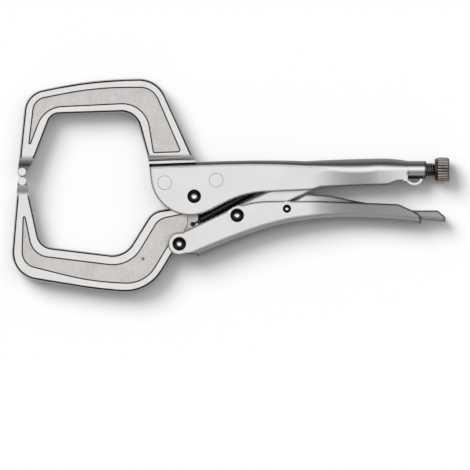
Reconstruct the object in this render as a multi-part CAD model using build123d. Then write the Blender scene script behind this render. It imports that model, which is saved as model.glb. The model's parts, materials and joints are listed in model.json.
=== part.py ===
"""Locking C-clamp pliers: a fixed jaw riveted into a sheet-steel handle, a swinging jaw,
an over-centre lever and link, an adjusting screw and a release lever.

Millimetres. While it is drawn, X runs along the tool from the jaws to the screw, Y runs across it
from the lower handle to the upper one, Z is its thickness, and the main pivot is the origin.
"""
import os
from math import atan2, cos, degrees, hypot, sin

from build123d import *

# Thickness stack, from wall to wall
handle_width = 16.6
sheet = 2.3
side_play = 0.3
wall_press = 0.05
seat_gap = 0.05
running_gap = 0.05

# Pivots and anchors, measured from the main pivot
lever_pivot_x = -9.56
lever_pivot_y = -30.47
link_pivot_x = 27.58
link_pivot_y = -12.19
release_pivot_x = 59.5
release_pivot_y = -7.95
spring_hole_x = -0.9
spring_hole_y = -17.96
spring_tab_x = 57.0
spring_tab_y = 14.4
front_rivet_x = -18.86
front_rivet_y = 8.72
rear_rivet_x = 14.18
rear_rivet_y = 10.33
screw_y = 16.94

# Rivets
pivot_head = 9.0
pivot_shank = 7.0
pivot_dish = 1.3
pivot_rim = 0.45
release_head = 5.4
release_shank = 4.0
release_dish = 0.9
release_rim = 0.3
jaw_rivet_size = 9.1
jaw_rivet_edge = 0.2

# Jaw tips: short cross bars that meet face to face
tip_x = -110.4
tip_y = 12.65
tip_size = 5.5
tip_edge = 0.4
tip_play = 0.3
tip_cove = 6.0

# Forged jaw arms and their sunk panels, outlines as (x, y, corner radius)
panel_depth = 1.4
panel_draft = 0.8
forging_draft = 0.7
forging_edge = 1.1
fixed_outer = [(-108.0, 66.2, 15.0), (-65.9, 74.8, 260.0), (-23.5, 75.8, 18.0)]
fixed_inner = [(-37.9, 54.1, 12.0), (-91.4, 52.3, 7.0), (-101.6, 25.6, 4.0)]
swing_outer = [(-118.3, -51.2, 18.0), (-62.0, -60.4, 260.0), (-29.2, -62.8, 28.0)]
swing_inner = [(-27.0, -9.6, 12.0), (-45.0, -38.5, 15.0), (-98.4, -32.0, 9.5)]
swing_heel_y = -6.2
fixed_panel = [(-107.3, 26.8, 0.95), (-103.0, 62.4, 9.7), (-63.1, 70.3, 220.0), (-26.2, 70.3, 12.8),
               (-7.9, 28.2, 1.7), (-26.5, 27.6, 1.2), (-31.6, 59.7, 17.1), (-95.8, 56.6, 16.8)]
swing_panel = [(-23.0, -14.2, 11.3), (-41.5, -45.0, 20.7), (-103.1, -37.4, 12.7), (-109.8, -4.9, 1.05),
               (-111.0, -43.9, 10.5), (-65.3, -55.3, 180.0), (-31.3, -56.6, 21.6),
               (-15.6, lever_pivot_y, 0.0)]
swing_panel_end_y = -10.2
foot_front_x = -28.7
foot_back_x = 1.0
flange = 1.5
hub_size = 18.0
hub_play = 0.6
lever_boss = 13.0
web = 2.0
web_boss = 6.8
web_root = 4.0
web_edge_x = -4.0
spring_hole = 3.2
dimple_x = -32.8
dimple_y = -40.2
dimple_size = 2.0

# Upper handle: channel sections as (x, spine height, corner radius, lean of the walls)
nose_front_x = -28.95
spine_front_y = 20.85
spine_heel_x = 4.0
spine_heel_y = 22.1
spine_radius = 3.6
upper_wide_y = 6.5
neck_size = 11.4
neck_x = 137.0
neck_end_x = neck_x + 11.7
shoulder_x = neck_x - 9.0
shoulder_y = 23.9
shoulder_narrow = 2.0
shoulder_flat = 0.1
upper_grip = [(72.0, 22.5, 4.8, 0.0), (79.0, 22.9, 5.6, -0.03), (90.0, 23.4, 6.8, -0.1),
              (neck_x - 19.0, 24.2, 7.2, -0.1)]
upper_edge = [(-23.7, -26.3, 25.7), (32.3, 2.2, 63.0), (75.5, 4.1, 6.0), (81.5, 6.0, 6.0),
              (neck_x - 12.5, 7.6, 8.0), (neck_x - 6.5, 9.9, 5.0)]
tang_back_x = 21.5
tang_wall = 2.0
tang_corner = 3.0
tang_nose = 8.0
spring_tab_half = 3.3
loop_drop = 3.4
loop_sheet = 1.3
loop_width = 6.0

# Adjusting screw and knob
screw_size = 9.2
dog_size = 6.2
dog_length = 14.4
point_gap = 7.9
knob_x = neck_end_x + 5.5
knob_size = 16.1
knob_length = 9.5
knob_edge = 1.2
spigot_size = 7.0
spigot_length = 7.0
flutes = 32
flute_depth = 0.45
flute_size = 1.3

# Lower handle: line of its spine as (x, y, corner radius), and its edges
lower_spine = [(-30.0, -51.6), (62.5, -15.15, 190.0), (123.2, -15.15, 250.0), (146.0, -18.5, 60.0),
               (170.0, -20.0)]
lower_round_front = 0.31
lower_round_grip = 0.43
lower_front_shares = [0.05, 0.2, 0.37, 0.53]
lower_grip_shares = [0.53, 0.62, 0.82, 1.0]
round_from_x = 72.5
round_to_x = 91.0
lower_lean = 0.18
lower_wide_y = 12.2
lower_grip_narrow = 0.5
lower_spine_flat = 0.6
ear_size = 14.4
lower_edge = [(34.7, -3.05, 62.0), (80.0, -3.05, 100.0), (131.0, -5.0, 8.0), (145.6, -11.7, 6.5)]
lower_end_x = 145.6
lower_spine_start_x = 2.2
ear_edge = 6.0
ear_foot_y = -37.0
ear_corner = 1.0

# Toggle link
link_width = 11.2
link_play = 0.7
link_straight = 46.0
link_tip = 6.4
link_end_x = 91.5

# Release lever
release_sheet = 1.6
nest_gap = 0.5
release_ear = 9.2
release_top = [(72.0, 1.3, 1.0), (88.0, 0.3, 30.0), (104.4, -3.2, 60.0), (140.0, -9.1, 30.0),
               (156.4, -9.1, 3.0)]
release_end_x = 161.1
release_end_y = -13.2
release_front_y = -12.4
release_web_x = 82.0
release_corner = 1.5
bearing_x = 66.0
bearing_y = -4.6
bearing_size = 3.0

# Tension spring
spring_size = 6.0
wire = 1.0
spring_turns = 28
hook_set = 0.7

# Sizes that follow from the ones above
half_width = handle_width / 2
channel = handle_width - 2 * sheet
jaw_thick = channel - 2 * side_play
tang_thick = channel - 2 * seat_gap
upper_tip_y = tip_y + (tip_play + tip_size) / 2
lower_tip_y = tip_y - (tip_play + tip_size) / 2
foot_angle = degrees(atan2(spine_heel_y - spine_front_y, spine_heel_x - nose_front_x))
link_bar = handle_width - 2 * (sheet + nest_gap + release_sheet + link_play)
link_length = hypot(link_end_x - link_pivot_x, screw_y - link_pivot_y)
link_angle = degrees(atan2(screw_y - link_pivot_y, link_end_x - link_pivot_x))
dog_end_x = link_end_x + link_tip / 2 + point_gap
screw_start_x = dog_end_x + dog_length
far = 400.0
wall_reach = 45.0


def foot_y(x):
    """Height of the handle's spine under the fixed jaw's foot."""
    slope = (spine_heel_y - spine_front_y) / (spine_heel_x - nose_front_x)
    return spine_front_y + (x - nose_front_x) * slope


def outline(corners):
    """Flat face inside corners given as (x, y, corner radius)."""
    points = [(x, y) for x, y, _ in corners]
    radii = [radius for _, _, radius in corners]
    return make_face(FilletPolyline(*points, radius=radii, close=True))


def inset(corners, depth):
    """The same corners with each side moved inward, and the corner radii moved with it."""
    spots = [Vector(x, y) for x, y, _ in corners]
    ahead = spots[1:] + spots[:1]
    sides = [(after - spot).normalized() for spot, after in zip(spots, ahead)]
    turning = 1 if sum(spot.cross(after).Z for spot, after in zip(spots, ahead)) > 0 else -1
    moved = []
    for spot, before, after, corner in zip(spots, sides[-1:] + sides[:-1], sides, corners):
        inward = (before + after).cross(Vector(0, 0, -turning)) / (1 + before.dot(after))
        outside = turning * before.cross(after).Z > 0
        radius = max(corner[2] - depth, seat_gap) if outside else corner[2] + depth
        moved.append((spot.X + depth * inward.X, spot.Y + depth * inward.Y, radius if corner[2] else 0))
    return moved


def slab(face, thickness):
    """A face of the XY plane, thickened evenly to both sides."""
    return extrude(face, amount=thickness / 2, both=True)


def pin(x, y, size, length):
    """A round bar across the tool, centred in its thickness."""
    return Pos(x, y, 0) * Cylinder(size / 2, length)


def tunnel(x_low, x_high, y, size):
    """A round bar along the tool, on its middle plane."""
    middle = Pos((x_low + x_high) / 2, y, 0)
    return middle * Rot(0, 90, 0) * Cylinder(size / 2, x_high - x_low)


def rivet_blank(head, shank):
    """A pin with a countersunk head in each wall of a handle."""
    profile = [(0, -half_width), (head / 2, -half_width), (shank / 2, sheet - half_width),
               (shank / 2, half_width - sheet), (head / 2, half_width), (0, half_width)]
    return revolve(Plane.XZ * make_face(Polyline(*profile, close=True)), axis=Axis.Z)


def rivet(x, y, head, shank, dish, edge):
    """A countersunk rivet with a shallow dish in each end."""
    body = rivet_blank(head, shank)
    reach = head / 2 - edge
    ball = (reach * reach + dish * dish) / (2 * dish)
    for side in (-1, 1):
        body -= Pos(0, 0, side * (half_width + ball - dish)) * Sphere(ball)
    return Pos(x, y, 0) * body


def rivet_seat(x, y, head, shank):
    """The countersunk hole of such a rivet through both walls of a handle."""
    return Pos(x, y, 0) * rivet_blank(head + 2 * seat_gap, shank + 2 * seat_gap)


def flush_rivet(x, y, gap=0.0):
    """A straight rivet, ground level with the walls but for its broken edges."""
    body = Cylinder(jaw_rivet_size / 2 + gap, handle_width)
    if gap == 0.0:
        body = chamfer(body.edges().filter_by(GeomType.CIRCLE), jaw_rivet_edge)
    return Pos(x, y, 0) * body


def channel_section(plane, width, corner, lean, wide_y, inset):
    """One section of a pressed channel, or of its hollow when inset: spine across the bottom, walls
    running far up, which lean outward and have the full width at one height."""
    full = width / 2 - inset
    top = inset + wall_reach
    low_half = full + lean * (inset - wide_y)
    top_half = full + lean * (top - wide_y)
    corner = min(max(corner - inset, seat_gap), low_half - seat_gap)
    return plane * outline([(-top_half, top, 0), (-low_half, inset, corner), (low_half, inset, corner),
                            (top_half, top, 0)])


def forged_arm(corners, blunt):
    """A jaw arm drafted to both sides of its parting line, square where a neighbour hides its end."""
    top = Pos(0, 0, jaw_thick / 2) * outline(inset(corners, forging_draft))
    half = loft([outline(corners), top], ruled=True)
    arm = half + mirror(half, about=Plane.XY)
    rims = [edge for flat in arm.faces().filter_by(Axis.Z) for edge in flat.edges()]
    return fillet([edge for edge in rims if not blunt(edge.center())], forging_edge)


def recess(corners):
    """The two shallow panels with sloping walls sunk into the faces of an arm."""
    face = outline(corners)
    floor = Pos(0, 0, -panel_depth) * outline(inset(corners, panel_draft))
    pocket = loft([floor, face], ruled=True) + extrude(face, amount=panel_depth)
    upper = Pos(0, 0, jaw_thick / 2) * pocket
    return upper + mirror(upper, about=Plane.XY)


def tip_block(face, bar_y, away):
    """The tip's cross bar, and the coves by which the arm widens to it."""
    reach = tip_size / 2 + tip_cove
    clip = Pos(tip_x, bar_y + away * reach / 2) * Rectangle(4 * tip_size, reach)
    block = slab(face & clip, handle_width)
    rise = (handle_width - jaw_thick) / 2
    cove = (tip_cove * tip_cove + rise * rise) / (2 * rise)
    for side in (-1, 1):
        middle = Pos(tip_x, bar_y + away * reach, side * (jaw_thick / 2 + cove))
        block -= middle * Rot(0, 90, 0) * Cylinder(cove, 4 * tip_size)
    bar = pin(tip_x, bar_y, tip_size, handle_width)
    return block + fillet(bar.edges().filter_by(GeomType.CIRCLE), tip_edge)


def make_fixed_jaw():
    foot = [(x, foot_y(x) + seat_gap, 0) for x in (foot_back_x, foot_front_x)]
    tip = [(tip_x + tip_size / 2, upper_tip_y, 0), (tip_x - tip_size / 2, upper_tip_y, 0)]
    corners = tip[1:] + fixed_outer + foot + fixed_inner + tip[:1]
    face = outline(corners)
    low = foot_y(foot_front_x) + forging_edge
    arm = forged_arm(corners, lambda spot: spot.Y < low)
    arm -= recess(fixed_panel)
    return arm + tip_block(face, upper_tip_y, 1) + make_foot(face) + make_tang()


def make_foot(face):
    """Flange on the handle's spine, as wide as the handle, with a cove up to the arm."""
    cove = (handle_width - jaw_thick) / 2
    seat = Pos(nose_front_x, spine_front_y) * Rot(0, 0, foot_angle)
    clip = seat * Pos(0, (flange + cove) / 2) * Rectangle(far, flange + cove)
    block = slab(face & clip, handle_width)
    for side in (-1, 1):
        corner = seat * Pos(0, flange + cove, side * half_width)
        block -= corner * Rot(0, 90, 0) * Cylinder(cove, far)
    return block


def make_tang():
    """Plate between the walls, which the two flush rivets hold."""
    under = sheet + spine_radius
    corners = [(foot_front_x + tang_wall, foot_y(foot_front_x) + flange, 0),
               (foot_back_x, foot_y(foot_back_x) + flange, 0),
               (foot_back_x, spine_heel_y - under, 0), (tang_back_x, spine_heel_y - under, tang_corner),
               (tang_back_x, rear_rivet_y - jaw_rivet_size / 2 - tang_wall, tang_corner),
               (front_rivet_x, front_rivet_y - jaw_rivet_size / 2 - tang_wall, tang_nose),
               (foot_front_x + tang_wall, front_rivet_y, tang_corner)]
    plate = slab(outline(corners), tang_thick)
    plate -= pin(0, 0, hub_size + 2 * hub_play, handle_width)
    plate -= flush_rivet(front_rivet_x, front_rivet_y, seat_gap)
    return plate - flush_rivet(rear_rivet_x, rear_rivet_y, seat_gap)


def make_lower_jaw():
    tip = [(tip_x - tip_size / 2, lower_tip_y, 0), (tip_x + tip_size / 2, lower_tip_y, 0)]
    heel = [(lever_pivot_x, lever_pivot_y, 0), (web_edge_x, spring_hole_y, 0), (web_edge_x, swing_heel_y, 0)]
    corners = tip[:1] + swing_outer + heel + swing_inner + tip[1:]
    face = outline(corners)
    arm = forged_arm(corners, lambda spot: spot.X > swing_inner[0][0] + hub_size)
    run_out = [(lever_boss, lever_pivot_y, 0), (lever_boss, swing_panel_end_y, 0),
               (web_edge_x, swing_panel_end_y, 0)]
    arm -= recess(swing_panel + run_out)
    arm -= Pos(dimple_x, dimple_y, jaw_thick / 2 - panel_depth) * Sphere(dimple_size / 2)
    jaw = arm + tip_block(face, lower_tip_y, -1)
    jaw += pin(0, 0, hub_size, jaw_thick) + pin(lever_pivot_x, lever_pivot_y, lever_boss, jaw_thick)
    jaw += make_spring_web()
    for x, y in ((0, 0), (lever_pivot_x, lever_pivot_y)):
        jaw -= pin(x, y, pivot_shank + 2 * running_gap, handle_width)
    return jaw - pin(spring_hole_x, spring_hole_y, spring_hole, handle_width)


def make_spring_web():
    """Thin web between the hub and the lever boss, with the spring's hole."""
    hub = Circle(web_root / 2)
    eye = Pos(spring_hole_x, spring_hole_y) * Circle(web_boss / 2)
    boss = Pos(lever_pivot_x, lever_pivot_y) * Circle(lever_boss / 4)
    return slab(make_hull(hub.edges() + eye.edges() + boss.edges()), web)


def upper_section(x, y, corner, lean, width, inset):
    """Section of the upper handle, or of its hollow when inset by the sheet."""
    plane = Plane(origin=(x, y, 0), x_dir=(0, 0, 1), z_dir=(1, 0, 0))
    return channel_section(plane, width, corner, lean, upper_wide_y, inset)


def upper_body(inset):
    """The handle from nose to grip, and the shoulder that narrows to its neck."""
    front_x = nose_front_x - sheet
    middle_x = (front_x + spine_heel_x) / 2
    straight = [(x, foot_y(x), spine_radius, 0.0) for x in (front_x, middle_x, spine_heel_x)]
    width = handle_width if inset else handle_width + 2 * wall_press
    body = loft([upper_section(*station, width, inset) for station in straight + upper_grip[:1]])
    body += loft([upper_section(*station, width, inset) for station in upper_grip])
    corner, lean = upper_grip[-1][2:]
    shoulder_width = handle_width - shoulder_narrow
    shoulder_corner = min(corner, shoulder_width / 2 - shoulder_flat)
    shoulder = [upper_grip[-1] + (width,),
                (shoulder_x, shoulder_y, shoulder_corner, lean / 2, shoulder_width),
                (neck_x, screw_y + neck_size / 2, neck_size / 2, 0.0, neck_size)]
    return body + loft([upper_section(*station, inset) for station in shoulder])


def make_upper_handle():
    top = spine_heel_y + neck_size
    side = [(neck_x, upper_edge[-1][1], 0), (neck_x, top, 0)]
    side += [(nose_front_x, top, 0), (nose_front_x, spine_front_y, 0)] + upper_edge
    handle = upper_body(0) & slab(outline(side), handle_width)
    hollow_end = Pos(shoulder_x - far / 2, 0, 0) * Box(far, far, far)
    handle -= upper_body(sheet) & hollow_end
    handle += tunnel(shoulder_x, neck_end_x, screw_y, neck_size)
    slot_low = spine_front_y - 2 * sheet
    slot = Pos((nose_front_x + foot_back_x) / 2 - sheet, (slot_low + top) / 2, 0)
    handle -= slot * Box(foot_back_x - nose_front_x + 2 * sheet, top - slot_low, channel)
    handle -= tunnel(upper_grip[-1][0], neck_end_x + sheet, screw_y, screw_size + 2 * running_gap)
    handle += make_spring_tab() + make_loop()
    handle -= rivet_seat(0, 0, pivot_head, pivot_shank)
    handle -= flush_rivet(front_rivet_x, front_rivet_y, seat_gap)
    return handle - flush_rivet(rear_rivet_x, rear_rivet_y, seat_gap)


def make_spring_tab():
    """Tab lanced down from the spine, with the hole for the spring's rear hook."""
    top = spine_heel_y - sheet / 2
    front_x = spring_tab_x - spring_tab_half
    back_x = spring_tab_x + spring_tab_half
    corners = [(front_x, spring_tab_y, 0), (front_x, top, 0), (back_x + spring_tab_half, top, 0),
               (back_x, spring_tab_y, 0)]
    face = outline(corners) + Pos(spring_tab_x, spring_tab_y) * Circle(spring_tab_half)
    return slab(face, sheet) - pin(spring_tab_x, spring_tab_y, spring_hole, handle_width)


def make_loop():
    """Small curled strip under the neck."""
    low = screw_y - neck_size / 2
    start = (neck_end_x - 2 * loop_sheet, low)
    middle = ((2 * neck_x + neck_end_x) / 3, low - loop_drop)
    end = (neck_x, low - loop_sheet)
    path = ThreePointArc(start, middle, end)
    section = Plane(origin=path @ 0, x_dir=(0, 0, 1), z_dir=path % 0) * Rectangle(loop_width, loop_sheet)
    return sweep(section, path=path)


def lower_path():
    points = [corner[:2] for corner in lower_spine]
    radii = [corner[2] for corner in lower_spine[1:-1]]
    return FilletPolyline(*points, radius=radii)


def lower_section(share, inset):
    """Section of the lower handle, or of what nests in it when inset, at a share of its spine."""
    path = lower_path()
    spot = path @ share
    grown = min(1.0, max(0.0, (spot.X - round_from_x) / (round_to_x - round_from_x)))
    eased = grown * grown * (3 - 2 * grown)
    corner = handle_width * (lower_round_front + (lower_round_grip - lower_round_front) * eased)
    plane = Plane(origin=spot, x_dir=(0, 0, -1), z_dir=path % share)
    width = handle_width - lower_grip_narrow * eased
    lean = lower_lean * eased
    corner = min(corner, width / 2 + lean * (inset - lower_wide_y) - lower_spine_flat)
    return channel_section(plane, width, corner, lean, lower_wide_y, inset)


def lower_body(inset):
    """The lower handle from ears to grip, or what nests in it when inset."""
    front = loft([lower_section(share, inset) for share in lower_front_shares])
    return front + loft([lower_section(share, inset) for share in lower_grip_shares])


def make_lower_handle():
    ear = pin(lever_pivot_x, lever_pivot_y, ear_size, far)
    corners = [ear_top() + (0,)] + lower_edge
    corners += [(lower_end_x, -far / 4, 0), (lower_spine_start_x, -far / 4, 0),
                (lower_spine_start_x, ear_foot_y, ear_corner), (lever_pivot_x, ear_foot_y, 0)]
    handle = (slab(outline(corners), far) + ear) & lower_body(0)
    handle -= lower_body(sheet)
    handle -= rivet_seat(lever_pivot_x, lever_pivot_y, pivot_head, pivot_shank)
    handle -= rivet_seat(link_pivot_x, link_pivot_y, pivot_head, pivot_shank)
    return handle - rivet_seat(release_pivot_x, release_pivot_y, release_head, release_shank)


def ear_top():
    """Where the straight upper edge of the lower handle starts, beside the lever pivot."""
    run = lower_edge[0][0] - lever_pivot_x
    rise = lower_edge[0][1] - lever_pivot_y
    lean = atan2(rise, run) + atan2(ear_edge, hypot(run, rise))
    return (lever_pivot_x - ear_edge * sin(lean), lever_pivot_y + ear_edge * cos(lean))


def make_toggle_link():
    blank = Circle(link_width / 2)
    knee = Pos(link_straight, 0) * Circle(link_width / 2)
    tip = Pos(link_length, 0) * Circle(link_tip / 2)
    bar = make_hull(blank.edges() + knee.edges()) + make_hull(knee.edges() + tip.edges())
    link = slab(bar, link_bar) + Cylinder(link_width / 2, jaw_thick)
    link -= Cylinder(pivot_shank / 2 + running_gap, handle_width)
    return Pos(link_pivot_x, link_pivot_y, 0) * Rot(0, 0, link_angle) * link


def make_release_lever():
    outer = sheet + nest_gap
    front = [(release_pivot_x - release_ear / 2, release_pivot_y, 0)]
    corners = front + release_top
    corners += [(release_end_x, release_end_y, release_corner), (release_end_x, -far / 4, 0),
                (release_web_x + release_ear, -far / 4, 0), (release_web_x, release_front_y, release_corner),
                (release_pivot_x, release_front_y, 0)]
    blank = slab(outline(corners), far)
    blank += pin(release_pivot_x, release_pivot_y, release_ear, far)
    lever = blank & lower_body(outer)
    lever -= lower_body(outer + release_sheet)
    lever += pin(bearing_x, bearing_y, bearing_size, handle_width - 2 * outer - release_sheet)
    return lever - pin(release_pivot_x, release_pivot_y, release_shank + 2 * running_gap, handle_width)


def make_adjusting_screw():
    rod = tunnel(screw_start_x, knob_x, screw_y, screw_size)
    rod = chamfer(rod.edges().filter_by(GeomType.CIRCLE), (screw_size - dog_size) / 4)
    dog = tunnel(dog_end_x, screw_start_x, screw_y, dog_size)
    dog = fillet(dog.edges().filter_by(GeomType.CIRCLE).sort_by(Axis.X)[0], dog_size / 4)
    return rod + dog + tunnel(knob_x, knob_x + spigot_length, screw_y, spigot_size)


def make_screw_knob():
    low = knob_x + seat_gap
    knob = Cylinder(knob_size / 2, knob_length)
    knob = chamfer(knob.edges().filter_by(GeomType.CIRCLE), knob_edge)
    groove = Cylinder(flute_size / 2, knob_length)
    for place in PolarLocations(knob_size / 2 + flute_size / 2 - flute_depth, flutes):
        knob -= place * groove
    knob = Pos(low + knob_length / 2, screw_y, 0) * Rot(0, 90, 0) * knob
    socket_end_x = knob_x + spigot_length + seat_gap
    return knob - tunnel(knob_x - sheet, socket_end_x, screw_y, spigot_size + 2 * running_gap)


def make_tension_spring():
    """Close-wound coil, one rib for each turn, with a full loop at each end."""
    run = (spring_tab_x - spring_hole_x, spring_tab_y - spring_hole_y)
    reach = hypot(*run)
    loop = (spring_size - wire) / 2
    first = hook_set + 2 * loop
    pitch = (reach - 2 * first) / spring_turns
    deep = spring_size / 2 - wire / 2
    ribs = [(0, 0), (deep, 0)]
    for turn in range(spring_turns):
        ribs += [(spring_size / 2, (turn + 0.5) * pitch), (deep, (turn + 1) * pitch)]
    ribs.append((0, spring_turns * pitch))
    coil = Pos(0, 0, first) * revolve(Plane.XZ * make_face(Polyline(*ribs, close=True)), axis=Axis.Z)
    hook = Rot(90, 0, 0) * Torus(loop, wire / 2)
    spring = coil + Pos(0, 0, hook_set + loop) * hook + Pos(0, 0, reach - hook_set - loop) * hook
    seat = Plane(origin=(spring_hole_x, spring_hole_y, 0), x_dir=(0, 0, 1), z_dir=(run[0], run[1], 0))
    return seat * spring


pieces = {
    "upper_handle": make_upper_handle(),
    "fixed_jaw": make_fixed_jaw(),
    "front_jaw_rivet": flush_rivet(front_rivet_x, front_rivet_y),
    "rear_jaw_rivet": flush_rivet(rear_rivet_x, rear_rivet_y),
    "main_pivot_rivet": rivet(0, 0, pivot_head, pivot_shank, pivot_dish, pivot_rim),
    "lower_jaw": make_lower_jaw(),
    "lower_handle": make_lower_handle(),
    "lever_pivot_rivet": rivet(lever_pivot_x, lever_pivot_y, pivot_head, pivot_shank, pivot_dish, pivot_rim),
    "link_pivot_rivet": rivet(link_pivot_x, link_pivot_y, pivot_head, pivot_shank, pivot_dish, pivot_rim),
    "release_rivet": rivet(release_pivot_x, release_pivot_y, release_head, release_shank, release_dish,
                           release_rim),
    "toggle_link": make_toggle_link(),
    "release_lever": make_release_lever(),
    "adjusting_screw": make_adjusting_screw(),
    "screw_knob": make_screw_knob(),
    "tension_spring": make_tension_spring(),
}

box = Compound(children=[Part() + piece for piece in pieces.values()]).bounding_box()
stand = Pos(-(box.min.X + box.max.X) / 2, -(box.min.Y + box.max.Y) / 2, half_width)
os.makedirs("parts", exist_ok=True)
for name, piece in pieces.items():
    export_step(stand * piece, f"parts/{name}.step")
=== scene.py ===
"""Locking C-clamp pliers on a white table.

The upper handle, jaws, rivets, link and release lever keep their solids and get their finishes here.
The thread of the screw, the ridges of the knob and the coil of the spring are meshes of their own.
The lower handle's mesh is taken over, with its outer flats filled anew around the rivet holes.
"""
import json
from math import cos, pi, sin, tau

import bpy
from bpy.props import FloatProperty, FloatVectorProperty, IntProperty, PointerProperty
from mathutils import Matrix, Vector
from mathutils.geometry import delaunay_2d_cdt


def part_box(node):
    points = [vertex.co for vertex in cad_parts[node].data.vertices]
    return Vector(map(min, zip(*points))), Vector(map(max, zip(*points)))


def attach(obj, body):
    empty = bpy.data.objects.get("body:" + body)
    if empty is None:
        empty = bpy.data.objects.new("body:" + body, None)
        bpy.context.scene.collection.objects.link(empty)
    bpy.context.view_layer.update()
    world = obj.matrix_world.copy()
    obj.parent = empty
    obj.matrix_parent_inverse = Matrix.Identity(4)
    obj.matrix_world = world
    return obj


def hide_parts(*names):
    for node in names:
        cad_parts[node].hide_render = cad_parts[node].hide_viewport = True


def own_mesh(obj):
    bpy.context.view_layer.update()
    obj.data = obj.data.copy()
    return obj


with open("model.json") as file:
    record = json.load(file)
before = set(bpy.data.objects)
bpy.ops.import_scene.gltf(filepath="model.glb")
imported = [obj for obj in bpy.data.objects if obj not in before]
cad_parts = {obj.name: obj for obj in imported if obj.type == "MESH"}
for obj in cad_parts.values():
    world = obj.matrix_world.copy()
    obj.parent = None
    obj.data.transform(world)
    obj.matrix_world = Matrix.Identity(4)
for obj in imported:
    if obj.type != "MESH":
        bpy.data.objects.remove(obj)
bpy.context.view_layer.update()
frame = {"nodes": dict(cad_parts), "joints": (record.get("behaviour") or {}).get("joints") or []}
nodes = frame["nodes"]
joints = {joint["name"]: joint for joint in frame["joints"]}

# Axes that a distance is measured along
ACROSS = (1.0, 1.0, 0.0)
AROUND_X = (0.0, 1.0, 1.0)

bl_info = {
    "name": "Locking C-clamp pliers",
    "version": (1, 0, 0),
    "blender": (4, 5, 0),
    "location": "3D View > Sidebar > Pliers",
    "description": "Finishes, thread, knurl, coil and stage for packed locking C-clamp pliers",
    "category": "Object",
}


def colour(name, description, default):
    return FloatVectorProperty(name=name, description=description, default=default, size=3, min=0.0, max=1.0,
                               subtype="COLOR")


def share(name, description, default):
    return FloatProperty(name=name, description=description, default=default, min=0.0, max=1.0,
                         subtype="FACTOR")


def length(name, description, default):
    return FloatProperty(name=name, description=description, default=default, unit="LENGTH", precision=5)


class PlateSettings(bpy.types.PropertyGroup):
    """Satin plating of the pressed and forged steel."""
    face: colour("Face", "Plating on the flat faces", (0.86, 0.85, 0.84))
    dull: colour("Dull", "Duller plating in the clouds of the grain", (0.45, 0.43, 0.42))
    # Painted shade: the darker colour of the spines turned away from the flat faces
    side: colour("Side", "Worn plating on rounded spines of the sheet", (0.2, 0.197, 0.194))
    # Painted shade: the side walls of the forgings are given this darker colour
    shaded_wall: colour("Wall", "Plating on the side walls of the forgings", (0.5, 0.49, 0.48))
    # Painted shade: a dark line along sharp edges and in corners
    edge: colour("Edge", "Oil along sharp edges and in corners", (0.02, 0.019, 0.018))
    # Painted shade in the coves of the jaw tips and on the foot
    cove_shade: colour("Cove", "Scale left in the coves of the jaw tips and on the foot", (0.16, 0.157, 0.155))
    panel: colour("Panel", "Forged skin on the floor of the jaw panels", (0.9, 0.875, 0.86))
    speck: colour("Speck", "Darker specks of the forged skin", (0.78, 0.75, 0.735))
    roughness: share("Roughness", "Sheen of the plated faces", 0.30)
    panel_roughness: share("Panel roughness", "Sheen of the forged skin", 0.48)
    panel_level: length("Panel level", "Height of the panel floors from the middle plane", 0.0043)
    grain: length("Grain", "Size of the tumbled grain", 0.00035)
    edge_width: length("Edge width", "Width of the dark line along sharp edges", 0.0022)
    tip_x: length("Tip X", "Place of the jaw tips along the tool, from the main pivot", -0.1104)
    tip_y: length("Tip Y", "Place of the line where the jaw tips meet, from the main pivot", 0.01265)
    tip_size: length("Tip size", "Diameter of the bright end of a tip bar", 0.0053)
    foot_y: length("Foot Y", "Height of the foot of the fixed jaw over the main pivot", 0.0238)
    loop_x: length("Loop X", "Place of the loop along the tool, from the knob", -0.0138)
    loop_y: length("Loop Y", "Place of the loop across the tool, from the knob", -0.0084)
    loop_radius: length("Loop radius", "Radius of the loop under the neck", 0.0045)


class RivetSettings(bpy.types.PropertyGroup):
    """Headed pivots with a dish in each end."""
    face: colour("Face", "Floor of the dish", (0.82, 0.81, 0.80))
    # Painted shade: the dark ring on the sloping wall of the dish
    ring: colour("Ring", "Oil-dark ring of the dish", (0.025, 0.023, 0.021))
    roughness: share("Roughness", "Sheen of the dish", 0.16)


class ScrewSettings(bpy.types.PropertyGroup):
    """Rod with a rolled thread."""
    metal: colour("Metal", "Crests of the thread", (0.5, 0.455, 0.42))
    # Painted shade in the roots of the thread, also the colour of dark streaks
    oil: colour("Oil", "Oil in the thread's roots", (0.02, 0.017, 0.015))
    pitch: length("Pitch", "Advance of one turn", 0.00125)
    depth: length("Depth", "Depth of the thread", 0.00065)
    point: length("Point", "Length of the smooth point ahead of the thread", 0.0144)
    point_radius: length("Point radius", "Radius of the smooth point", 0.0031)
    spigot: length("Spigot", "Radius of the end inside the knob", 0.0034)
    roughness: share("Roughness", "Sheen of the thread", 0.36)


class KnobSettings(bpy.types.PropertyGroup):
    """Knob with straight ridges."""
    metal: colour("Metal", "Crests of the ridges", (0.78, 0.69, 0.64))
    # Painted shade in the grooves and on the bevels, also the colour of dark streaks
    soil_and_shade: colour("Soil", "Dark soil between the ridges", (0.11, 0.088, 0.076))
    ridges: IntProperty(name="Ridges", description="Number of ridges around the knob", default=26, min=8)
    depth: length("Depth", "Depth of the grooves between the ridges", 0.0006)
    # The bevelled collar lies below the root radius and so gets painted shade
    collar: length("Collar", "Length of the dark bevelled collar towards the handle", 0.002)
    edge: length("Edge", "Rounded edge at the outer end", 0.0018)
    hollow: length("Hollow", "Radius of the hollow around the screw", 0.0036)
    roughness: share("Roughness", "Sheen of the ridges", 0.38)


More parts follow.
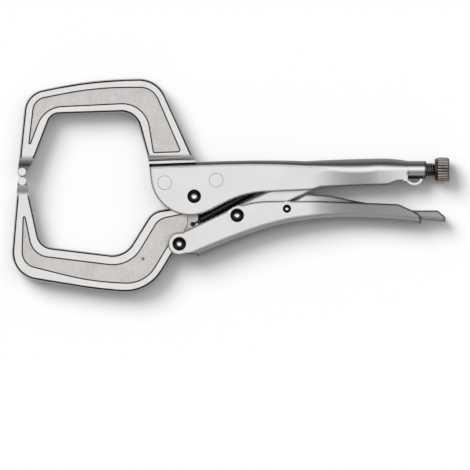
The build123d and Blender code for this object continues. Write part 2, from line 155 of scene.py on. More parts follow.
class SpringSettings(bpy.types.PropertyGroup):
    """Close-wound opening spring."""
    wire: colour("Wire", "Drawn wire", (0.17, 0.165, 0.16))
    oil: colour("Oil", "Oil in the clouds of the wire's grain", (0.11, 0.105, 0.1))
    roughness: share("Roughness", "Sheen of the wire", 0.34)
    thickness: length("Thickness", "Diameter of the wire", 0.00105)
    size: length("Size", "Outside diameter of the coil", 0.006)
    turns: IntProperty(name="Turns", description="Number of turns between the hooks", default=46, min=8)


class StageSettings(bpy.types.PropertyGroup):
    """Table, lights and camera."""
    floor: colour("Floor", "White table", (0.95, 0.95, 0.95))
    reach: length("Reach", "How far the table goes on each side", 4.0)
    camera_height: length("Camera height", "Height of the camera over the table", 1.2)
    view_width: length("View width", "Width of table in the picture", 0.3015)
    view_x: length("View X", "Place of the picture's middle along the tool", 0.0028)
    view_y: length("View Y", "Place of the picture's middle across the tool", -0.0318)
    key_strength: FloatProperty(name="Key strength", description="Strength of the soft key light",
                                default=2.4)
    key_angle: FloatProperty(name="Key angle", description="Width of the soft key light seen from the table",
                             default=0.6, subtype="ANGLE")


class PliersSettings(bpy.types.PropertyGroup):
    """All settings of the pliers."""
    plate: PointerProperty(type=PlateSettings)
    rivet: PointerProperty(type=RivetSettings)
    screw: PointerProperty(type=ScrewSettings)
    knob: PointerProperty(type=KnobSettings)
    spring: PointerProperty(type=SpringSettings)
    stage: PointerProperty(type=StageSettings)


def feed(tree, socket, value):
    """Links a socket's value, or writes a plain one."""
    if isinstance(value, bpy.types.NodeSocket):
        tree.links.new(value, socket)
    else:
        socket.default_value = value


def calc(tree, operation, first, second=0.0, clamp=False):
    node = tree.nodes.new("ShaderNodeMath")
    node.operation = operation
    node.use_clamp = clamp
    feed(tree, node.inputs[0], first)
    feed(tree, node.inputs[1], second)
    return node.outputs[0]


def step(tree, value, low, high):
    """Smooth mask from 0 at low to 1 at high."""
    node = tree.nodes.new("ShaderNodeMapRange")
    node.interpolation_type = "SMOOTHSTEP"
    feed(tree, node.inputs["Value"], value)
    feed(tree, node.inputs["From Min"], low)
    feed(tree, node.inputs["From Max"], high)
    return node.outputs["Result"]


def fade(tree, value, low, high):
    """Smooth mask from 1 at low to 0 at high."""
    return calc(tree, "SUBTRACT", 1.0, step(tree, value, low, high))


def noise(tree, place, scale, detail=2.0, roughness=0.5):
    node = tree.nodes.new("ShaderNodeTexNoise")
    feed(tree, node.inputs["Vector"], place)
    feed(tree, node.inputs["Scale"], scale)
    node.inputs["Detail"].default_value = detail
    node.inputs["Roughness"].default_value = roughness
    return node.outputs["Fac"]


def stretched(tree, place, scale):
    node = tree.nodes.new("ShaderNodeMapping")
    feed(tree, node.inputs["Vector"], place)
    node.inputs["Scale"].default_value = scale
    return node.outputs["Vector"]


def tint(tree, factor, first, second):
    """Colour between two others."""
    node = tree.nodes.new("ShaderNodeMix")
    node.data_type = "RGBA"
    node.clamp_factor = True
    feed(tree, node.inputs[0], factor)
    for socket, value in ((node.inputs[6], first), (node.inputs[7], second)):
        feed(tree, socket, value if isinstance(value, bpy.types.NodeSocket) else (*value, 1.0))
    return node.outputs[2]


def new_group(name, inputs, outputs):
    """Empty group of shader nodes with named number sockets."""
    tree = bpy.data.node_groups.new(name, "ShaderNodeTree")
    for label, value in inputs:
        tree.interface.new_socket(label, in_out="INPUT", socket_type="NodeSocketFloat").default_value = value
    for label in outputs:
        tree.interface.new_socket(label, in_out="OUTPUT", socket_type="NodeSocketFloat")
    return tree, tree.nodes.new("NodeGroupInput").outputs, tree.nodes.new("NodeGroupOutput").inputs


def tumbled_grain():
    """Grain of tumbled and plated steel: cloudy tone, fine pits and faint drawing lines."""
    name = "Tumbled grain"
    if name in bpy.data.node_groups:
        return bpy.data.node_groups[name]
    tree, given, out = new_group(name, [("Grain Scale", 2800.0)], ["Tone", "Sheen", "Height"])
    place = tree.nodes.new("ShaderNodeTexCoord").outputs["Object"]
    cloud = noise(tree, place, 48.0, 3.0)
    blotch = noise(tree, place, 210.0, 3.0, 0.6)
    grain = noise(tree, place, given["Grain Scale"], 3.0, 0.6)
    lines = noise(tree, stretched(tree, place, (90.0, 2600.0, 2600.0)), 1.0, 2.0)
    tone = calc(tree, "ADD", calc(tree, "MULTIPLY", cloud, 0.45), calc(tree, "MULTIPLY", blotch, 0.3))
    feed(tree, out["Tone"], calc(tree, "ADD", tone, calc(tree, "MULTIPLY", lines, 0.25), True))
    sheen = calc(tree, "ADD", calc(tree, "MULTIPLY", cloud, 0.6), calc(tree, "MULTIPLY", grain, 0.4))
    feed(tree, out["Sheen"], calc(tree, "SUBTRACT", sheen, 0.5))
    height = calc(tree, "ADD", calc(tree, "MULTIPLY", grain, 0.7), calc(tree, "MULTIPLY", lines, 0.3))
    feed(tree, out["Height"], height)
    return tree


def turned_side():
    """Mask of what is turned away from the tool's two flat faces: spines, edges and walls, where shade is
    painted.
    """
    name = "Turned side"
    if name in bpy.data.node_groups:
        return bpy.data.node_groups[name]
    tree, given, out = new_group(name, [("Flat", 0.95), ("Turned", 0.55), ("Clean Underside", 0.0)], ["Side"])
    normal = tree.nodes.new("ShaderNodeTexCoord").outputs["Normal"]
    split = tree.nodes.new("ShaderNodeSeparateXYZ")
    feed(tree, split.inputs[0], normal)
    facing = calc(tree, "ABSOLUTE", split.outputs["Z"])
    # Faces turned towards -Y get less of the painted shade
    under = calc(tree, "MAXIMUM", calc(tree, "MULTIPLY", split.outputs["Y"], -1.0), 0.0)
    facing = calc(tree, "ADD", facing, calc(tree, "MULTIPLY", under, given["Clean Underside"]))
    feed(tree, out["Side"], fade(tree, facing, given["Turned"], given["Flat"]))
    return tree


def sharp_edge():
    """Mask of a narrow line along sharp edges and corners, where a dark line of shade is painted."""
    name = "Sharp edge"
    if name in bpy.data.node_groups:
        return bpy.data.node_groups[name]
    tree, given, out = new_group(name, [("Width", 0.0007)], ["Edge"])
    rounded = tree.nodes.new("ShaderNodeBevel")
    rounded.samples = 6
    feed(tree, rounded.inputs["Radius"], given["Width"])
    plain = tree.nodes.new("ShaderNodeNewGeometry").outputs["Normal"]
    alike = tree.nodes.new("ShaderNodeVectorMath")
    alike.operation = "DOT_PRODUCT"
    feed(tree, alike.inputs[0], rounded.outputs["Normal"])
    feed(tree, alike.inputs[1], plain)
    feed(tree, out["Edge"], fade(tree, alike.outputs["Value"], 0.965, 0.999))
    return tree


def distance(tree, place, centre, axes):
    """Distance of a place from a centre, along the given axes only."""
    away = tree.nodes.new("ShaderNodeVectorMath")
    away.operation = "SUBTRACT"
    feed(tree, away.inputs[0], place)
    away.inputs[1].default_value = centre
    flat = tree.nodes.new("ShaderNodeVectorMath")
    flat.operation = "MULTIPLY"
    feed(tree, flat.inputs[0], away.outputs["Vector"])
    flat.inputs[1].default_value = axes
    reach = tree.nodes.new("ShaderNodeVectorMath")
    reach.operation = "LENGTH"
    feed(tree, reach.inputs[0], flat.outputs["Vector"])
    return reach.outputs["Value"]


def placed(tree, group):
    node = tree.nodes.new("ShaderNodeGroup")
    node.node_tree = group
    return node


def new_material(name, base, roughness):
    """Material with a plain metal shader; returns it with its tree and shader."""
    material = bpy.data.materials.new(name)
    material.use_nodes = True
    material.diffuse_color = (*base, 1.0)
    tree = material.node_tree
    shader = tree.nodes["Principled BSDF"]
    shader.inputs["Metallic"].default_value = 1.0
    shader.inputs["Base Color"].default_value = (*base, 1.0)
    shader.inputs["Roughness"].default_value = roughness
    return material, tree, shader


def bumped(tree, shader, height, depth):
    node = tree.nodes.new("ShaderNodeBump")
    node.inputs["Strength"].default_value = 1.0
    node.inputs["Distance"].default_value = depth
    feed(tree, node.inputs["Height"], height)
    feed(tree, shader.inputs["Normal"], node.outputs["Normal"])


def uneven_sheen(tree, grain, spread, middle):
    """Roughness that varies with the grain around a middle value."""
    rough = calc(tree, "MULTIPLY_ADD", grain.outputs["Sheen"], spread)
    rough.node.inputs[2].default_value = middle
    return rough


def sheet_plate(plate, unshaded_spots):
    """Satin plating on the pressed sheet, with painted shade on its spines and a painted dark line of shade
    along its edges except around some spots.
    """
    material, tree, shader = new_material("satin_sheet", plate.face, plate.roughness)
    grain = placed(tree, tumbled_grain())
    grain.inputs["Grain Scale"].default_value = 1.0 / plate.grain
    turned = placed(tree, turned_side())
    turned.inputs["Flat"].default_value = 0.975
    turned.inputs["Turned"].default_value = 0.86
    turned.inputs["Clean Underside"].default_value = 0.22
    side = turned.outputs["Side"]
    line = placed(tree, sharp_edge())
    line.inputs["Width"].default_value = plate.edge_width
    place = tree.nodes.new("ShaderNodeTexCoord").outputs["Object"]
    edge = line.outputs["Edge"]
    unshaded_margin = 0.0014
    unshaded_fade = 0.001
    cloudiness = 0.2
    sheen_spread = 0.16
    side_wear = 0.08
    pit_depth = 0.000015
    # The painted edge shade is left off around the rivets and the loop
    for middle, radius in unshaded_spots:
        reach = distance(tree, place, middle, ACROSS)
        unshaded_reach = radius + unshaded_margin
        edge = calc(tree, "MULTIPLY", edge, step(tree, reach, unshaded_reach, unshaded_reach + unshaded_fade))
    cloudy = calc(tree, "MULTIPLY", grain.outputs["Tone"], cloudiness)
    # Painted shade on the spines and walls turned away from the flat faces
    shaded = tint(tree, side, tint(tree, cloudy, plate.face, plate.dull), plate.side)
    # Painted shade: a dark line along sharp edges and in corners
    feed(tree, shader.inputs["Base Color"], tint(tree, edge, shaded, plate.edge))
    rough = uneven_sheen(tree, grain, sheen_spread, plate.roughness)
    worn = calc(tree, "MULTIPLY", side, side_wear)
    feed(tree, shader.inputs["Roughness"], calc(tree, "ADD", rough, worn, True))
    bumped(tree, shader, grain.outputs["Height"], pit_depth)
    return material


def forged_plate(plate, pivot):
    """Plating on the forged jaws: raw skin on the sunk panels, painted shade in the coves, on the foot and on
    the side walls, and a painted dark outline.
    """
    material, tree, shader = new_material("forged_plate", plate.face, plate.roughness)
    grain = placed(tree, tumbled_grain())
    grain.inputs["Grain Scale"].default_value = 1.0 / plate.grain
    turned = placed(tree, turned_side())
    turned.inputs["Flat"].default_value = 0.997
    turned.inputs["Turned"].default_value = 0.97
    side = turned.outputs["Side"]
    # Pairs of values between which a mask sets in or fades
    speck_share = (0.38, 0.66)
    tip_length = (0.012, 0.014)
    tip_height = (0.0095, 0.0145)
    bar_height = (0.0056, 0.0062)
    foot_bottom = (-0.0010, -0.0006)
    foot_top = (0.0012, 0.0036)
    foot_start = (0.05, 0.06)
    outline_level = (0.0039, 0.0045)
    panel_fade = 0.0003
    tip_gap = 0.00025
    cloudiness = 0.18
    sheen_spread = 0.16
    ruggedness = 5.0
    pit_depth = 0.00002
    place = tree.nodes.new("ShaderNodeTexCoord").outputs["Object"]
    split = tree.nodes.new("ShaderNodeSeparateXYZ")
    feed(tree, split.inputs[0], place)
    level = calc(tree, "ABSOLUTE", calc(tree, "SUBTRACT", split.outputs["Z"], pivot[2]))
    deep = fade(tree, level, plate.panel_level, plate.panel_level + panel_fade)
    skin = noise(tree, place, 620.0, 5.0, 0.65)
    mottle = noise(tree, place, 120.0, 3.0, 0.6)
    speckled = calc(tree, "ADD", calc(tree, "MULTIPLY", mottle, 0.5), calc(tree, "MULTIPLY", skin, 0.5))
    panel = tint(tree, step(tree, speckled, *speck_share), plate.panel, plate.speck)
    faces = tint(tree, deep, plate.face, panel)
    toned = tint(tree, calc(tree, "MULTIPLY", grain.outputs["Tone"], cloudiness), faces, plate.dull)
    # Tip bars and the coves beside them, with painted shade in the coves
    along = calc(tree, "SUBTRACT", split.outputs["X"], pivot[0] + plate.tip_x)
    across = calc(tree, "ABSOLUTE", calc(tree, "SUBTRACT", split.outputs["Y"], pivot[1] + plate.tip_y))
    spot = tree.nodes.new("ShaderNodeCombineXYZ")
    feed(tree, spot.inputs["X"], along)
    feed(tree, spot.inputs["Y"], across)
    half = plate.tip_size / 2
    reach = distance(tree, spot.outputs["Vector"], (0.0, half + tip_gap, 0.0), ACROSS)
    around = step(tree, reach, half - 0.0002, half + 0.0001)
    tip = calc(tree, "MULTIPLY", fade(tree, along, *tip_length), fade(tree, across, *tip_height))
    cove_shade = calc(tree, "MULTIPLY", around, tip)
    meeting = pivot[1] + plate.tip_y
    upper = step(tree, split.outputs["Y"], meeting, meeting + 0.0001)
    barred = fade(tree, across, *bar_height)
    tip_shaded = tint(tree, calc(tree, "MAXIMUM", upper, barred), plate.face, plate.cove_shade)
    cove_shaded = tint(tree, cove_shade, toned, tip_shaded)
    # Foot flange of the fixed jaw, with painted shade
    above = calc(tree, "SUBTRACT", split.outputs["Y"], pivot[1] + plate.foot_y)
    foot = calc(tree, "MULTIPLY", step(tree, above, *foot_bottom), fade(tree, above, *foot_top))
    foot = calc(tree, "MULTIPLY", foot, step(tree, along, *foot_start))
    cove_shaded = tint(tree, foot, cove_shaded, plate.cove_shade)
    # Side walls with painted shade, darkest next to the flat faces
    rim = tint(tree, step(tree, level, *outline_level), plate.shaded_wall, plate.edge)
    rim = tint(tree, foot, rim, plate.shaded_wall)
    rim = tint(tree, tip, rim, tint(tree, upper, plate.face, plate.cove_shade))
    feed(tree, shader.inputs["Base Color"], tint(tree, side, cove_shaded, rim))
    rough = calc(tree, "MULTIPLY_ADD", deep, plate.panel_roughness - plate.roughness)
    rough.node.inputs[2].default_value = plate.roughness
    varied = calc(tree, "MULTIPLY", grain.outputs["Sheen"], sheen_spread)
    feed(tree, shader.inputs["Roughness"], calc(tree, "ADD", rough, varied, True))
    rugged = calc(tree, "MULTIPLY", calc(tree, "MULTIPLY", skin, deep), ruggedness)
    bumped(tree, shader, calc(tree, "ADD", grain.outputs["Height"], rugged), pit_depth)
    return material


def dished_rivet(name, rivet, middle, radius):
    """Polished dish with a ring of painted shade around its middle."""
    ring_start = (0.2, 0.44)
    ring_end = (0.96, 1.0)
    unevenness = 0.3
    sheen_spread = 0.12
    pit_depth = 0.000008
    material, tree, shader = new_material(name, rivet.face, rivet.roughness)
    grain = placed(tree, tumbled_grain())
    place = tree.nodes.new("ShaderNodeTexCoord").outputs["Object"]
    reach = calc(tree, "DIVIDE", distance(tree, place, middle, ACROSS), radius)
    uneven = calc(tree, "MULTIPLY", calc(tree, "SUBTRACT", noise(tree, place, 500.0), 0.5), unevenness)
    # Painted shade on a ring between the bright middle and the rim
    inner = step(tree, calc(tree, "ADD", reach, uneven), *ring_start)
    ring = calc(tree, "MULTIPLY", inner, fade(tree, reach, *ring_end))
    feed(tree, shader.inputs["Base Color"], tint(tree, ring, rivet.face, rivet.ring))
    feed(tree, shader.inputs["Roughness"], uneven_sheen(tree, grain, sheen_spread, rivet.roughness))
    bumped(tree, shader, grain.outputs["Height"], pit_depth)
    return material


def soiled_shaded_steel(name, metal, soil_and_shade, axis, crest, root, roughness):
    """Dark steel with dark streaks, and with painted shade towards the roots of a thread or knurl around an
    axis along X.
    """
    streak_scale = (130.0, 1500.0, 1500.0)
    streak_share = (0.25, 0.65)
    sheen_spread = 0.2
    pit_depth = 0.00002
    material, tree, shader = new_material(name, metal, roughness)
    grain = placed(tree, tumbled_grain())
    place = tree.nodes.new("ShaderNodeTexCoord").outputs["Object"]
    radius = distance(tree, place, axis, AROUND_X)
    streak = noise(tree, stretched(tree, place, streak_scale), 1.0, 3.0, 0.6)
    # Painted shade below the crests, in roots, grooves and bevels; dark streaks on the crests too
    patchy = calc(tree, "MULTIPLY", step(tree, radius, root, crest), step(tree, streak, *streak_share))
    feed(tree, shader.inputs["Base Color"], tint(tree, patchy, soil_and_shade, metal))
    feed(tree, shader.inputs["Roughness"], uneven_sheen(tree, grain, sheen_spread, roughness))
    bumped(tree, shader, grain.outputs["Height"], pit_depth)
    return material


def drawn_wire(spring):
    """Dark spring wire."""
    sheen_spread = 0.2
    pit_depth = 0.00001
    material, tree, shader = new_material("drawn_wire", spring.wire, spring.roughness)
    grain = placed(tree, tumbled_grain())
    feed(tree, shader.inputs["Base Color"], tint(tree, grain.outputs["Tone"], spring.wire, spring.oil))
    feed(tree, shader.inputs["Roughness"], uneven_sheen(tree, grain, sheen_spread, spring.roughness))
    bumped(tree, shader, grain.outputs["Height"], pit_depth)
    return material


def dress(node_name, material):
    """Gives a node of the frame its finish."""
    slots = nodes[node_name].material_slots
    for slot in slots:
        slot.material = material
    if not slots:
        raise RuntimeError(f"{node_name} has no material slot")


def new_piece(name, points, faces, material, sharp=0.6):
    """Mesh object with smooth faces and sharp creases."""
    mesh = bpy.data.meshes.new(name)
    mesh.from_pydata(points, [], faces)
    mesh.validate()
    mesh.shade_smooth()
    mesh.set_sharp_from_angle(angle=sharp)
    mesh.materials.append(material)
    piece = bpy.data.objects.new(name, mesh)
    bpy.context.scene.collection.objects.link(piece)
    return piece


def turned_body(rings, around, axis, radius_at):
    """Points and faces of a body turned about an axis along X, closed at both ends."""
    points = []
    for ring in rings:
        for spoke in range(around):
            angle = tau * spoke / around
            radius = radius_at(ring, angle)
            points.append((ring[0], axis[1] + radius * cos(angle), axis[2] + radius * sin(angle)))
    faces = []
    for low in range(0, (len(rings) - 1) * around, around):
        for spoke in range(around):
            after = (spoke + 1) % around
            faces.append((low + spoke, low + around + spoke, low + around + after, low + after))
    for low, turn in ((0, 1), ((len(rings) - 1) * around, -1)):
        centre = len(points)
        points.append((rings[0 if turn > 0 else -1][0], axis[1], axis[2]))
        for spoke in range(around):
            after = (spoke + 1) % around
            faces.append((centre, low + spoke, low + after)[::turn])
    return points, faces


def wire_body(route, radius, sides):
    """Points and faces of a round wire along a route of closely spaced points."""
    points = []
    faces = []
    across = Vector((0.0, 0.0, 1.0))
    for index, spot in enumerate(route):
        ahead = (route[min(index + 1, len(route) - 1)] - route[max(index - 1, 0)]).normalized()
        across = (across - ahead * across.dot(ahead)).normalized()
        other = ahead.cross(across)
        for side in range(sides):
            angle = tau * side / sides
            points.append(spot + radius * (cos(angle) * across + sin(angle) * other))
    for low in range(0, (len(route) - 1) * sides, sides):
        for side in range(sides):
            after = (side + 1) % sides
            faces.append((low + side, low + after, low + sides + after, low + sides + side))
    faces.append(tuple(reversed(range(sides))))
    faces.append(tuple(range(len(points) - sides, len(points))))
    return points, faces


def encloses(lines, spot):
    """Whether closed lines enclose a spot, outside of the holes among them."""
    crossed = 0
    for start, end in lines:
        if (start.y > spot.y) != (end.y > spot.y):
            crossed += spot.x < start.x + (end.x - start.x) * (spot.y - start.y) / (end.y - start.y)
    return crossed % 2 == 1


def refilled_flats(node_name):
    """Points, faces and corner normals of a node, its two outer flats filled anew around their holes."""
    mesh = nodes[node_name].data
    low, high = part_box(node_name)
    level_slack = 0.00002
    facing_limit = 0.9995
    millimetres = 1000
    merge_within = 0.0001
    points = [vertex.co.copy() for vertex in mesh.vertices]
    faces = []
    normals = []
    flats = {low.z: {}, high.z: {}}
    for face in mesh.polygons:
        face_normals = [mesh.corner_normals[loop].vector.copy() for loop in face.loop_indices]
        level = low.z if face.center.z < (low.z + high.z) / 2 else high.z
        lies_flat = all(abs(points[corner].z - level) < level_slack for corner in face.vertices)
        if lies_flat and all(abs(normal.z) > facing_limit for normal in face_normals):
            for edge in face.edge_keys:
                flats[level][edge] = flats[level].get(edge, 0) + 1
        else:
            faces.append(tuple(face.vertices))
            normals += face_normals
    for level, outward in ((low.z, -1), (high.z, 1)):
        border = [edge for edge, uses in flats[level].items() if uses == 1]
        corners = sorted({corner for edge in border for corner in edge})
        place = {corner: index for index, corner in enumerate(corners)}
        flat = [points[corner].xy * millimetres for corner in corners]
        edges = [(place[start], place[end]) for start, end in border]
        lines = [(flat[start], flat[end]) for start, end in edges]
        spots, _, triangles, sources, _, _ = delaunay_2d_cdt(flat, edges, [], 1, merge_within)
        numbers = []
        for spot, source in zip(spots, sources):
            # Border lines that cross would add a point of their own
            if not source:
                points.append(Vector((*(spot / millimetres), level)))
            numbers.append(corners[source[0]] if source else len(points) - 1)
        for triangle in triangles:
            middle = sum((spots[corner] for corner in triangle), Vector((0.0, 0.0))) / 3
            if encloses(lines, middle):
                faces.append(tuple(numbers[corner] for corner in triangle[::outward]))
                normals += [Vector((0.0, 0.0, outward))] * 3
    return points, faces, normals


class PLIERS_OT_handles(bpy.types.Operator):
    """Plate the pressed handles, the link and the release lever"""
    bl_idname = "pliers.handles"
    bl_label = "Plate handles"

    def execute(self, context):
        plate = context.scene.pliers.plate
        loop = Vector(joints["knob_turn"]["pos_m"]) + Vector((plate.loop_x, plate.loop_y, 0.0))
        # Spots around which the painted edge shade is left off
        unshaded_spots = [(loop, plate.loop_radius)]
        for name in nodes:
            if name.endswith("_rivet"):
                low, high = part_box(name)
                unshaded_spots.append(((low + high) / 2, (high.x - low.x) / 2))
        material = sheet_plate(plate, unshaded_spots)
        for name in ("upper_handle", "release_lever", "toggle_link"):
            dress(name, material)
        points, faces, normals = refilled_flats("lower_handle")
        piece = new_piece("pressed_lever", points, faces, material)
        piece.data.normals_split_custom_set(normals)
        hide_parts("lower_handle")
        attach(piece, "lever")
        return {"FINISHED"}


class PLIERS_OT_jaws(bpy.types.Operator):
    """Plate the forged jaws"""
    bl_idname = "pliers.jaws"
    bl_label = "Plate jaws"

    def execute(self, context):
        material = forged_plate(context.scene.pliers.plate, joints["jaw_open"]["pos_m"])
        for name in ("fixed_jaw", "lower_jaw"):
            dress(name, material)
        return {"FINISHED"}


class PLIERS_OT_rivets(bpy.types.Operator):
    """Finish the rivets"""
    bl_idname = "pliers.rivets"
    bl_label = "Finish rivets"

    def execute(self, context):
        for name in ("main_pivot_rivet", "lever_pivot_rivet", "link_pivot_rivet", "release_rivet"):
            low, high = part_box(name)
            dress(name, dished_rivet(f"dished_{name}", context.scene.pliers.rivet, (low + high) / 2,
                                     (high.x - low.x) / 2))
        flush = bpy.data.materials.get("satin_sheet")
        if flush is None:
            raise RuntimeError("the handles are plated first")
        for name in ("front_jaw_rivet", "rear_jaw_rivet"):
            dress(name, flush)
        return {"FINISHED"}


class PLIERS_OT_screw(bpy.types.Operator):
    """Cut the thread of the adjusting screw"""
    bl_idname = "pliers.screw"
    bl_label = "Cut thread"

    def execute(self, context):
        screw = context.scene.pliers.screw
        low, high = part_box("adjusting_screw")
        axis = (low + high) / 2
        crest = (high.z - low.z) / 2
        root = crest - screw.depth
        knob_gap = 0.0001
        run_in = 0.0008
        rings_per_turn = 10
        spokes = 56
        flank_slope = 2.6
        crest_share = 0.25
        thread_start = low.x + screw.point
        thread_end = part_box("screw_knob")[0].x - knob_gap
        first = thread_start + run_in
        last = thread_end - run_in

        def radius_at(ring, angle):
            x, base, threaded = ring
            turn = (x / screw.pitch - angle / tau) % 1.0
            flank = min(1.0, max(0.0, flank_slope * abs(turn - 0.5) - crest_share))
            return base - threaded * screw.depth * flank

        # Each ring is a place along the axis, a radius and a share of the thread
        rings = [(low.x, 0.0008, 0.0), (low.x + 0.0003, 0.0019, 0.0), (low.x + 0.0009, 0.0027, 0.0),
                 (low.x + 0.0016, screw.point_radius, 0.0),
                 (thread_start - 0.0002, screw.point_radius, 0.0),
                 (thread_start, root - 0.0004, 0.0), (first, crest, 1.0)]
        count = int((last - first) / screw.pitch * rings_per_turn)
        rings += [(first + (last - first) * part / count, crest, 1.0) for part in range(1, count)]
        rings += [(last, crest, 1.0), (thread_end - 0.0003, root - 0.0002, 0.3),
                  (thread_end, screw.spigot, 0.0), (high.x - 0.0002, screw.spigot, 0.0),
                  (high.x, screw.spigot - 0.0002, 0.0)]
        points, faces = turned_body(rings, spokes, axis, radius_at)
        material = soiled_shaded_steel("oiled_thread", screw.metal, screw.oil, axis, crest, root, screw.roughness)
        piece = new_piece("threaded_screw", points, faces, material)
        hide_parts("adjusting_screw")
        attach(piece, "screw")
        return {"FINISHED"}


class PLIERS_OT_knob(bpy.types.Operator):
    """Knurl the knob of the adjusting screw"""
    bl_idname = "pliers.knob"
    bl_label = "Knurl knob"

    def execute(self, context):
        knob = context.scene.pliers.knob
        low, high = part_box("screw_knob")
        axis = (low + high) / 2
        crest = (high.z - low.z) / 2
        root = crest - knob.depth
        groove_shape = 1.6
        spokes_per_ridge = 10
        barrel_parts = 8
        edge_parts = 6

        def radius_at(ring, angle):
            base, ridged = ring[1:]
            groove = 0.5 + 0.5 * cos(knob.ridges * angle)
            return base - ridged * knob.depth * groove ** groove_shape

        # Each ring is a place along the axis, a radius and a share of the ridges
        start = low.x + knob.collar
        rings = [(low.x + 0.0005, knob.hollow, 0.0), (low.x, knob.hollow + 0.0006, 0.0),
                 (low.x, crest - 0.0013, 0.0), (low.x + 0.0005, crest - 0.0008, 0.0),
                 (start - 0.0004, crest - 0.0005, 0.0), (start - 0.0002, crest - 0.0008, 0.0),
                 (start, crest - 0.0004, 0.3), (start + 0.0003, crest, 1.0)]
        rings += [(start + (high.x - start) * part / barrel_parts, crest, 1.0) for part in range(1, 6)]
        for part in range(edge_parts + 1):
            ridged = 1 - part / edge_parts
            bend = ridged * pi / 2
            place = high.x - knob.edge * (1 - cos(bend))
            rings.append((place, crest - knob.edge * (1 - sin(bend)), ridged))
        rings += [(high.x, crest - 0.0026, 0.0), (high.x - 0.0004, crest - 0.0031, 0.0),
                  (high.x - 0.0004, 0.0006, 0.0)]
        points, faces = turned_body(rings, knob.ridges * spokes_per_ridge, axis, radius_at)
        material = soiled_shaded_steel("knurled_steel", knob.metal, knob.soil_and_shade, axis, crest, root, knob.roughness)
        piece = new_piece("knurled_knob", points, faces, material)
        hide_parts("screw_knob")
        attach(piece, "knob")
        return {"FINISHED"}


class PLIERS_OT_spring(bpy.types.Operator):
    """Wind the opening spring"""
    bl_idname = "pliers.spring"
    bl_label = "Wind spring"

    def execute(self, context):
        spring = context.scene.pliers.spring
        pivot = Vector(joints["jaw_open"]["pos_m"])
        jaw_hole = Vector((-0.0009, -0.01796, 0.0))
        handle_tab = Vector((0.057, 0.0144, 0.0))
        set_back = 0.0007
        hook_parts = 21
        per_turn = 20
        taper_parts = 12
        narrowest = 0.35
        wire_sides = 8
        front = pivot + jaw_hole
        rear = pivot + handle_tab
        along = (rear - front).normalized()
        upward = Vector((0.0, 0.0, 1.0))
        across = upward.cross(along)
        bend = (spring.size - spring.thickness) / 2
        reach = (rear - front).length
        first = set_back + 2 * bend

        def hook(end, inward):
            """Three quarters of a ring around an end, starting next to the coil."""
            for part in range(hook_parts + 1):
                angle = -pi / 2 + 1.5 * pi * part / hook_parts
                yield end + inward * (set_back + bend - bend * sin(angle)) + upward * bend * cos(angle)

        route = list(hook(front, along))[::-1]
        count = spring.turns * per_turn
        for part in range(count + 1):
            angle = tau * part / per_turn
            grow = min(1.0, part / taper_parts, (count - part) / taper_parts)
            spot = front + along * (first + (reach - 2 * first) * part / count)
            radius = bend * (narrowest + (1 - narrowest) * grow)
            route.append(spot + radius * (cos(angle) * upward + sin(angle) * across))
        route += hook(rear, -along)
        points, faces = wire_body(route, spring.thickness / 2, wire_sides)
        piece = new_piece("coil_spring", points, faces, drawn_wire(spring), sharp=1.2)
        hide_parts("tension_spring")
        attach(piece, "handle")
        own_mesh(piece)
        return {"FINISHED"}


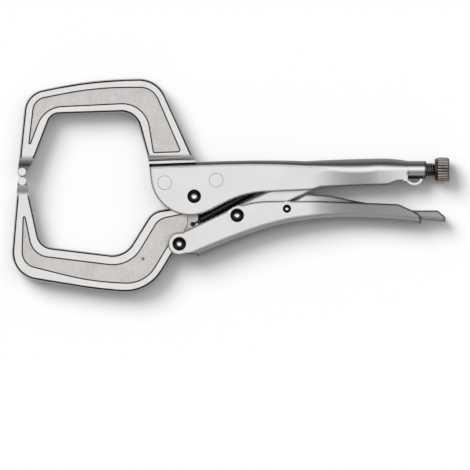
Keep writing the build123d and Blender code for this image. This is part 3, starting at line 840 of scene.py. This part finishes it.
class PLIERS_OT_stage(bpy.types.Operator):
    """Set the table, the lights and the camera"""
    bl_idname = "pliers.stage"
    bl_label = "Set stage"

    def execute(self, context):
        stage = context.scene.pliers.stage
        scene = context.scene
        scene.view_settings.view_transform = "Standard"
        self.lay_table(stage)
        self.hang_key(stage)
        self.light_sky(scene)
        data = bpy.data.cameras.new("camera")
        data.type = "ORTHO"
        data.ortho_scale = stage.view_width
        camera = bpy.data.objects.new("camera", data)
        camera.location = (stage.view_x, stage.view_y, stage.camera_height)
        scene.collection.objects.link(camera)
        scene.camera = camera
        return {"FINISHED"}

    def lay_table(self, stage):
        half = stage.reach
        material = bpy.data.materials.new("white_table")
        material.use_nodes = True
        shader = material.node_tree.nodes["Principled BSDF"]
        shader.inputs["Base Color"].default_value = (*stage.floor, 1.0)
        shader.inputs["Roughness"].default_value = 0.9
        shader.inputs["Specular IOR Level"].default_value = 0.0
        corners = [(-half, -half, 0.0), (half, -half, 0.0), (half, half, 0.0), (-half, half, 0.0)]
        table = new_piece("table", corners, [(0, 1, 2, 3)], material)

    def hang_key(self, stage):
        """A soft key from the upper left, which the metal doesn't mirror."""
        data = bpy.data.lights.new("key", "SUN")
        data.energy = stage.key_strength
        data.angle = stage.key_angle
        key = bpy.data.objects.new("key", data)
        key.location = (-0.62, 0.68, 0.85)
        key.rotation_euler = (-key.location).to_track_quat("-Z", "Y").to_euler()
        key.visible_glossy = False
        bpy.context.scene.collection.objects.link(key)

    def light_sky(self, scene):
        """A broad soft box overhead, nearer to the picture's top, and dim walls around it."""
        world = bpy.data.worlds.new("studio")
        world.use_nodes = True
        tree = world.node_tree
        split = tree.nodes.new("ShaderNodeSeparateXYZ")
        feed(tree, split.inputs[0], tree.nodes.new("ShaderNodeTexCoord").outputs["Generated"])
        ramp = tree.nodes.new("ShaderNodeValToRGB")
        feed(tree, ramp.inputs[0], calc(tree, "MULTIPLY", calc(tree, "ADD", split.outputs["Y"], 1.0), 0.5))
        # Brightness from the picture's bottom, -1, to its top, 1
        levels = [(-1.0, 0.32), (-0.75, 0.25), (-0.45, 0.18), (-0.3, 0.22), (-0.16, 0.5), (0.0, 0.93),
                  (0.2, 1.0), (0.45, 1.0), (0.6, 0.6), (0.74, 0.26), (1.0, 0.2)]
        ramp.color_ramp.elements[0].position = 0.0
        ramp.color_ramp.elements[1].position = 1.0
        for lean, _ in levels[1:-1]:
            ramp.color_ramp.elements.new((lean + 1) / 2)
        for element, (_, level) in zip(ramp.color_ramp.elements, levels):
            element.color = (level, level, level, 1.0)
        backdrop = tree.nodes["Background"]
        feed(tree, backdrop.inputs["Color"], ramp.outputs["Color"])
        overhead = 1.2
        wall_lean = (0.4, 0.8)
        wall_loss = 0.7
        aside = step(tree, calc(tree, "ABSOLUTE", split.outputs["X"]), *wall_lean)
        dimmed = calc(tree, "MULTIPLY", aside, wall_loss)
        feed(tree, backdrop.inputs["Strength"], calc(tree, "SUBTRACT", overhead, dimmed))
        scene.world = world


class PLIERS_PT_sidebar(bpy.types.Panel):
    """Settings and steps of the pliers"""
    bl_label = "Pliers"
    bl_idname = "PLIERS_PT_sidebar"
    bl_space_type = "VIEW_3D"
    bl_region_type = "UI"
    bl_category = "Pliers"

    def draw(self, context):
        pliers = context.scene.pliers
        for label, settings, steps in (
                ("Plating", pliers.plate, ("pliers.handles", "pliers.jaws")),
                ("Rivets", pliers.rivet, ("pliers.rivets",)),
                ("Screw", pliers.screw, ("pliers.screw",)),
                ("Knob", pliers.knob, ("pliers.knob",)),
                ("Spring", pliers.spring, ("pliers.spring",)),
                ("Stage", pliers.stage, ("pliers.stage",))):
            box = self.layout.box()
            box.label(text=label)
            for name in settings.__annotations__:
                box.prop(settings, name)
            for step_name in steps:
                box.operator(step_name)


classes = (PlateSettings, RivetSettings, ScrewSettings, KnobSettings, SpringSettings, StageSettings,
           PliersSettings, PLIERS_OT_handles, PLIERS_OT_jaws, PLIERS_OT_rivets, PLIERS_OT_screw,
           PLIERS_OT_knob, PLIERS_OT_spring, PLIERS_OT_stage, PLIERS_PT_sidebar)


def register():
    for cls in classes:
        bpy.utils.register_class(cls)
    bpy.types.Scene.pliers = PointerProperty(type=PliersSettings)


def unregister():
    del bpy.types.Scene.pliers
    for cls in reversed(classes):
        bpy.utils.unregister_class(cls)


def main():
    register()
    bpy.ops.pliers.stage()
    bpy.ops.pliers.handles()
    bpy.ops.pliers.jaws()
    bpy.ops.pliers.rivets()
    bpy.ops.pliers.screw()
    bpy.ops.pliers.knob()
    bpy.ops.pliers.spring()


if __name__ == "__main__":
    main()
